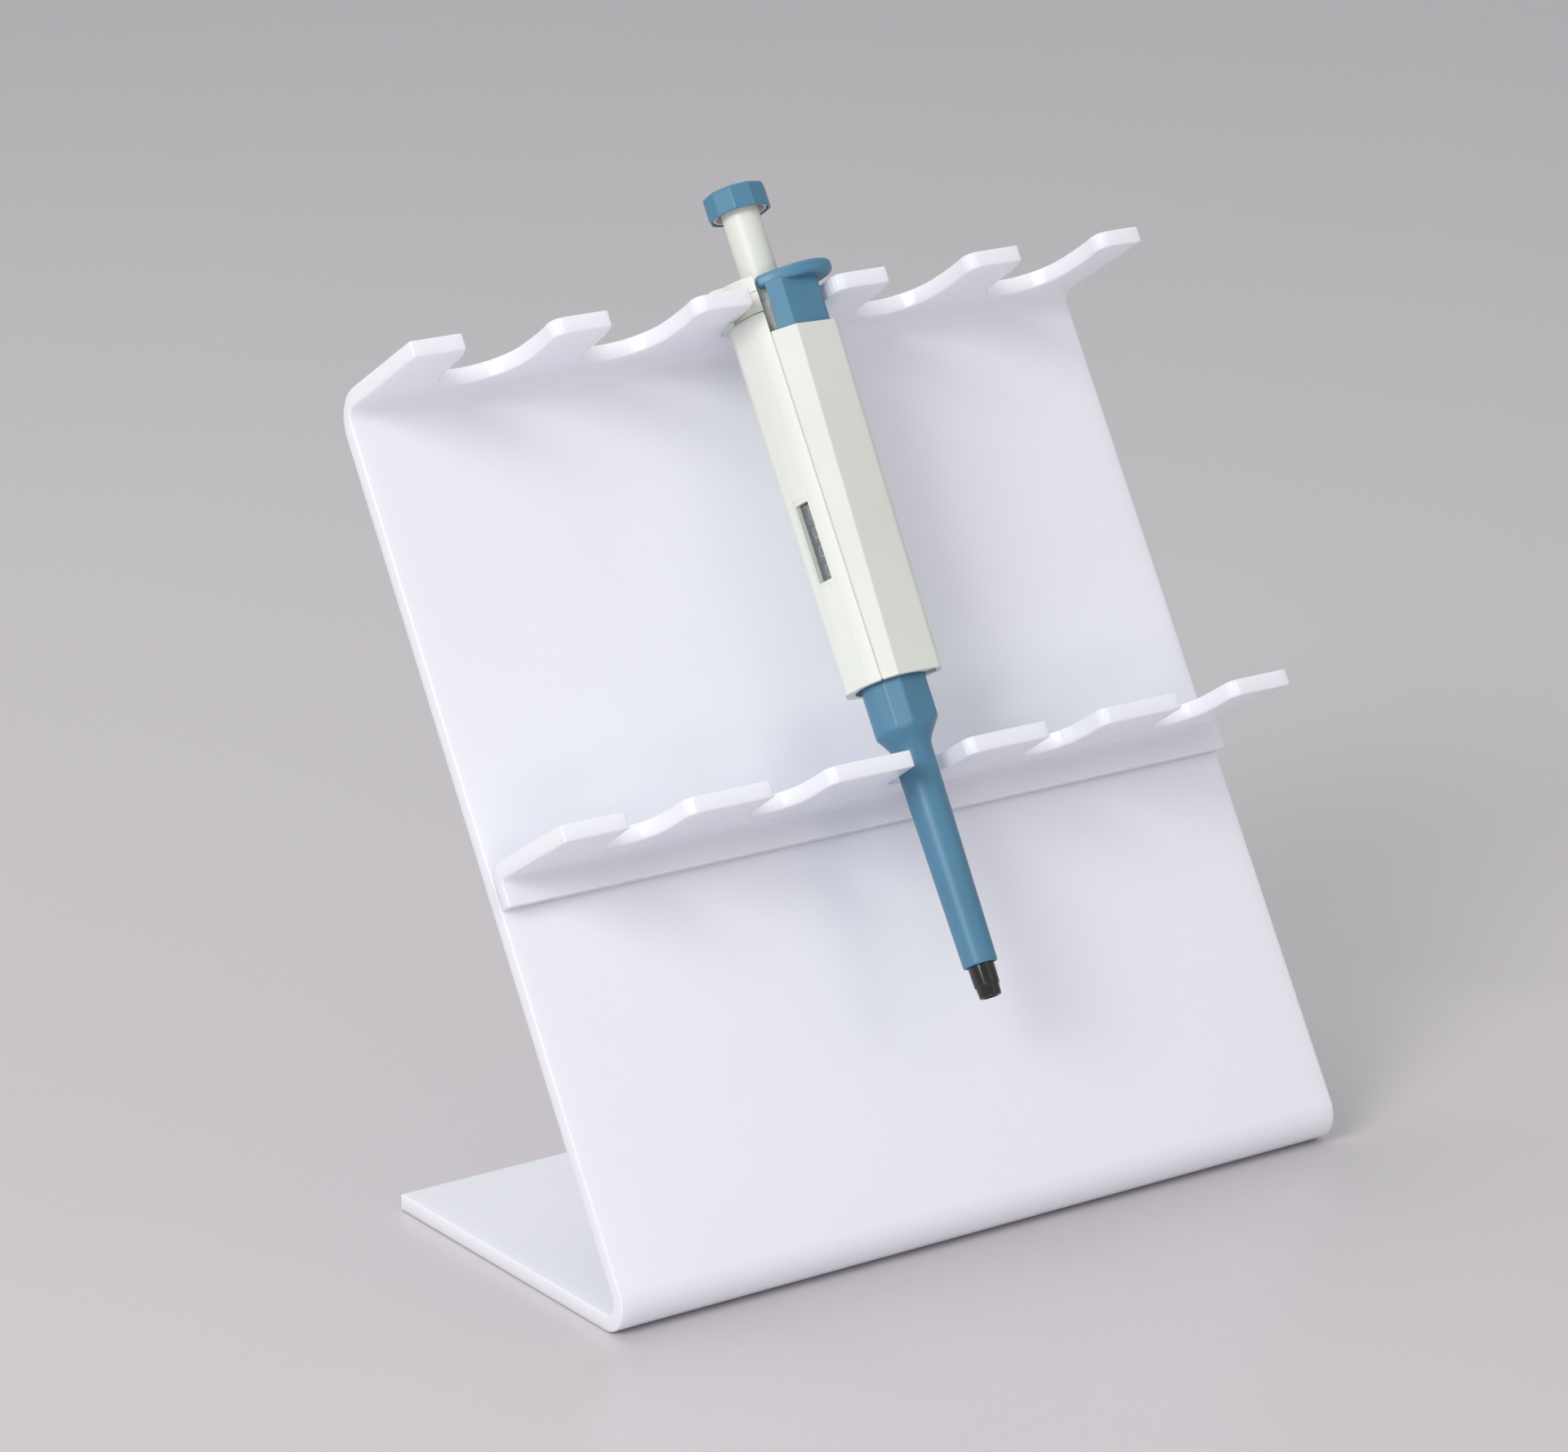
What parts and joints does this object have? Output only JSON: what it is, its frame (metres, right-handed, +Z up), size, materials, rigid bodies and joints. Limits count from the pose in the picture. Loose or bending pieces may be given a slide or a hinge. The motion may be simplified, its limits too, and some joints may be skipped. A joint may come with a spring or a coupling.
{
  "type": "pipette set",
  "caption": "Adjustable air-displacement pipette with faceted thumb knob, tip ejector and finger hook, standing in a leaning bent acrylic rack with rows of open slots.",
  "frame": {"origin": "middle of the whole set's bounding box, on the plane the stand's base rests on", "axes": "+Z up, -Y towards the front, where the slots open; +X along the stand, to the right seen from the front"},
  "size_m": [0.238, 0.1302, 0.2711],
  "materials": {
    "opal": "polished opal acrylic",
    "blue": "fine satin moulded",
    "white": "fine satin moulded",
    "grey": "moulded",
    "dark": "polished",
    "lens": "clear plastic",
    "steel": "bright",
    "seal": "satin",
    "filter": "porous",
    "wheel": "satin, white figures"
  },
  "bodies": {
    "stand": {"stand_panel": "opal", "rack_strip": "opal"},
    "handle": {"handle_shell": "white", "handle_cover": "white", "window_lens": "lens", "shaft_guide": "grey", "lower_bulkhead": "grey", "coupling_nut": "blue", "piston_housing": "white", "tip_cone": "dark", "cone_filter": "filter", "primary_spring": "steel", "blowout_spring": "steel", "ejector_spring": "steel"},
    "dial": {"volume_spindle": "grey", "number_wheel_1": "wheel", "number_wheel_2": "wheel"},
    "plunger": {"push_button": "blue", "button_liner": "white", "plunger_shaft": "white", "operating_rod": "steel", "spring_seat": "grey", "piston": "steel", "piston_seal": "seal"},
    "volume_stop": {"volume_stop": "grey"},
    "hundreds_wheel": {"number_wheel_3": "wheel"},
    "thousands_wheel": {"number_wheel_4": "wheel"},
    "ejector": {"ejector_button": "blue", "ejector_rod": "steel", "ejector_sleeve": "blue"}
  },
  "joints": [
    {"name": "pipette_draw", "type": "slide", "parent": "stand", "child": "handle", "axis": [0, -0.8581, 0.5135], "range_m": [0, 0.07]},
    {"name": "volume_turn", "type": "hinge", "parent": "handle", "child": "dial", "pos_m": [0.00006, -0.06264, 0.06885], "axis": [0.0068, 0.52, 0.8542], "range_deg": [-3240, 0]},
    {"name": "plunger_press", "type": "slide", "parent": "dial", "child": "plunger", "axis": [-0.0068, -0.52, -0.8542], "range_m": [0, 0.0155], "stiffness_N_per_m": 200, "springref_m": -0.01, "deforming": ["primary_spring", "blowout_spring"]},
    {"name": "stop_travel", "type": "slide", "parent": "handle", "child": "volume_stop", "axis": [0.0068, 0.52, 0.8542], "range_m": [0, 0.0113]},
    {"name": "hundreds_turn", "type": "hinge", "parent": "handle", "child": "hundreds_wheel", "pos_m": [0.00006, -0.06264, 0.06885], "axis": [0.0068, 0.52, 0.8542], "range_deg": [-324.1, 0.1]},
    {"name": "thousands_turn", "type": "hinge", "parent": "handle", "child": "thousands_wheel", "pos_m": [0.00006, -0.06264, 0.06885], "axis": [0.0068, 0.52, 0.8542], "range_deg": [-32.5, 0.1]},
    {"name": "ejector_press", "type": "slide", "parent": "handle", "child": "ejector", "axis": [-0.0068, -0.52, -0.8542], "range_m": [0, 0.0014], "stiffness_N_per_m": 400, "springref_m": -0.004, "deforming": ["ejector_spring"]}
  ],
  "couplings": [
    {"joint": "stop_travel", "follows": "volume_turn", "m_per_rad": -0.00019894},
    {"joint": "hundreds_turn", "follows": "volume_turn", "ratio": 0.1},
    {"joint": "thousands_turn", "follows": "volume_turn", "ratio": 0.01}
  ]
}
